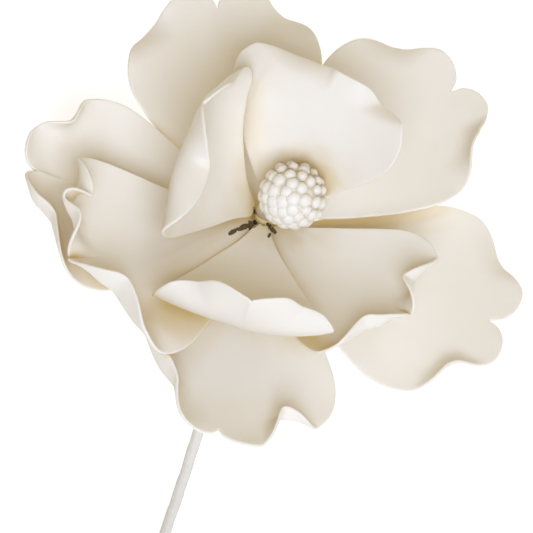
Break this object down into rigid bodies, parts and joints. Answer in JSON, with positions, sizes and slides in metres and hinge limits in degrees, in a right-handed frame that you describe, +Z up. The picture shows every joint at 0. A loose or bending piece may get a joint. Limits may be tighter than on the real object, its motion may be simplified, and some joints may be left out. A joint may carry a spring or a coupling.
{
  "type": "sugar-paste magnolia flower on a taped wire stem",
  "caption": "Cream magnolia of modelled sugar paste: frilled, cupped petals round a knobbly seed cone, on a taped wire stem that is bent to lie flat.",
  "frame": {"origin": "on the table surface, below the middle of the bounding box of the lying flower", "axes": "+Z up from the table, +Y the way the flower's face leans and the head points, -Y towards the cut end of the stem, +X to the right of the picture's view"},
  "size_m": [0.1262, 0.1745, 0.0739],
  "materials": {
    "petal_paste": "matte ivory sugar paste, slightly translucent at its thin edges",
    "cone_paste": "matte off-white sugar paste",
    "paper_tape": "waxed crepe paper tape, wound, matte",
    "steel_wire": "drawn steel wire"
  },
  "bodies": {
    "root": {"inner_petal_1": "petal_paste", "inner_petal_2": "petal_paste", "inner_petal_3": "petal_paste", "inner_petal_4": "petal_paste", "inner_petal_5": "petal_paste", "outer_petal_1": "petal_paste", "outer_petal_2": "petal_paste", "outer_petal_3": "petal_paste", "outer_petal_4": "petal_paste", "outer_petal_5": "petal_paste", "receptacle": "petal_paste", "centre_cone": "cone_paste", "stem_tape": "paper_tape", "stem_wire": "steel_wire"}
  },
  "joints": []
}
